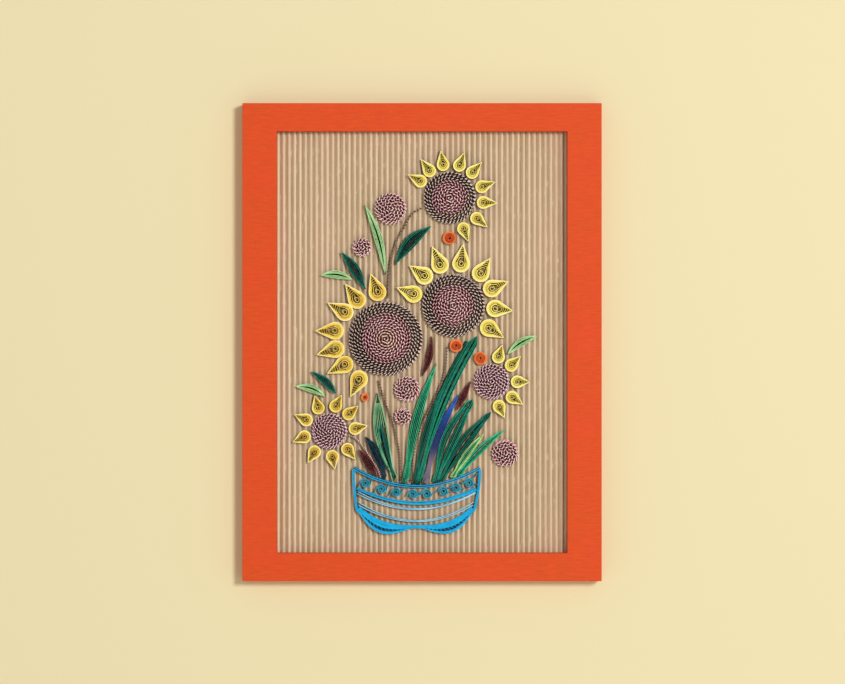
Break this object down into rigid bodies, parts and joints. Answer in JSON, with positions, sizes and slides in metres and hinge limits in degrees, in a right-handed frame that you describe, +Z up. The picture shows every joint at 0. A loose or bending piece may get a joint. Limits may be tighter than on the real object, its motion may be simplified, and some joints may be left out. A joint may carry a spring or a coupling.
{
  "type": "quilled paper art",
  "caption": "Wall picture of a quilled paper bouquet in a bowl, glued on edge to corrugated board in an upright card frame with a sawtooth hanger.",
  "frame": {"origin": "centre of the frame's box: the middle of its width, height and depth", "axes": "+X to the viewer's right, +Z up, -Y out of the picture's face towards the viewer, +Y into the wall it hangs on"},
  "size_m": [0.23, 0.014, 0.306],
  "materials": {
    "orange_card": "matt laid card",
    "kraft_board": "matt single-faced corrugated kraft",
    "grey_board": "matt grey-brown board",
    "steel": "brushed",
    "yellow_paper": "matt",
    "pink_paper": "matt, crimped",
    "dark_paper": "matt, crimped",
    "mauve_paper": "matt, crimped",
    "orange_paper": "matt",
    "pale_green_paper": "matt",
    "sage_paper": "matt",
    "dark_green_paper": "matt",
    "bright_green_paper": "matt",
    "navy_paper": "matt",
    "blue_paper": "matt",
    "lime_paper": "matt",
    "brown_paper": "matt",
    "cyan_paper": "matt",
    "light_blue_paper": "matt"
  },
  "bodies": {
    "root": {"back_panel": "grey_board", "blue_blade": "blue_paper", "bowl_band_strip": "cyan_paper", "bowl_base_strip": "cyan_paper", "bowl_bud": "brown_paper", "bowl_left_foot": "cyan_paper", "bowl_left_side": "cyan_paper", "bowl_lower_swag": "light_blue_paper", "bowl_right_foot": "cyan_paper", "bowl_right_side": "cyan_paper", "bowl_rim": "cyan_paper", "bowl_scrolls": "cyan_paper", "bowl_second_swag": "light_blue_paper", "bowl_upper_swag": "light_blue_paper", "bright_blade": "bright_green_paper", "corrugated_board": "kraft_board", "crimped_rosette_1": "pink_paper", "crimped_rosette_2": "pink_paper", "crimped_rosette_3": "pink_paper", "crimped_rosette_4": "pink_paper", "crimped_rosette_5": "pink_paper", "frame": "orange_card", "inner_dark_blade": "dark_green_paper", "left_dark_leaf": "dark_green_paper", "left_flower_dark_coil": "dark_paper", "left_flower_petals": "yellow_paper", "left_flower_pink_coil": "pink_paper", "left_flower_stem": "dark_paper", "left_pale_leaf": "pale_green_paper", "lime_blade": "lime_paper", "long_dark_blade": "dark_green_paper", "lower_dark_leaf": "dark_green_paper", "lower_flower_petals": "yellow_paper", "lower_flower_pink_coil": "mauve_paper", "lower_flower_stem": "mauve_paper", "lower_pale_leaf": "pale_green_paper", "middle_bud": "brown_paper", "middle_flower_dark_coil": "dark_paper", "middle_flower_petals": "yellow_paper", "middle_flower_pink_coil": "pink_paper", "middle_flower_stem": "dark_paper", "navy_blade": "navy_paper", "orange_tight_coils": "orange_paper", "right_bud": "brown_paper", "right_flower_petals": "yellow_paper", "right_flower_pink_coil": "mauve_paper", "right_green_blade": "bright_green_paper", "right_pale_leaf": "pale_green_paper", "sage_blade": "sage_paper", "sawtooth_hanger": "steel", "short_dark_blade": "dark_green_paper", "tall_pale_leaf": "pale_green_paper", "teal_blade": "bright_green_paper", "top_flower_dark_coil": "dark_paper", "top_flower_petals": "yellow_paper", "top_flower_pink_coil": "pink_paper", "top_flower_stem": "brown_paper", "upper_dark_leaf": "dark_green_paper", "wide_dark_blade": "dark_green_paper"}
  },
  "joints": []
}
